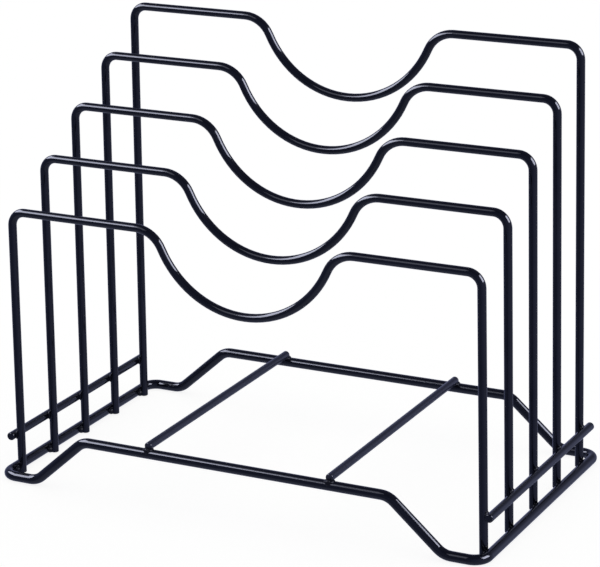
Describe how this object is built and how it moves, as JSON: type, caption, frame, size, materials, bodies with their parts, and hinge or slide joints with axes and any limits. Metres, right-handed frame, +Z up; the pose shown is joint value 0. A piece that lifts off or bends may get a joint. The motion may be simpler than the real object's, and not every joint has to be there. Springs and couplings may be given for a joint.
{
  "type": "pot lid rack",
  "caption": "Wire rack with upright dividers that rise from front to back, each with a round scoop in its top, to hold pot lids or pans on edge.",
  "frame": {"origin": "on the floor, under the middle of the base ring", "axes": "+X to the right seen from the front, along the dividers; +Y from the low front divider to the tall back one; +Z up"},
  "size_m": [0.3154, 0.1808, 0.2596],
  "materials": {
    "black_coat": "glossy black powder coat over steel wire"
  },
  "bodies": {
    "root": {"base_ring": "black_coat", "crossbar_left": "black_coat", "crossbar_right": "black_coat", "divider_1": "black_coat", "divider_2": "black_coat", "divider_3": "black_coat", "divider_4": "black_coat", "divider_5": "black_coat", "side_rod_left": "black_coat", "side_rod_right": "black_coat"}
  },
  "joints": []
}
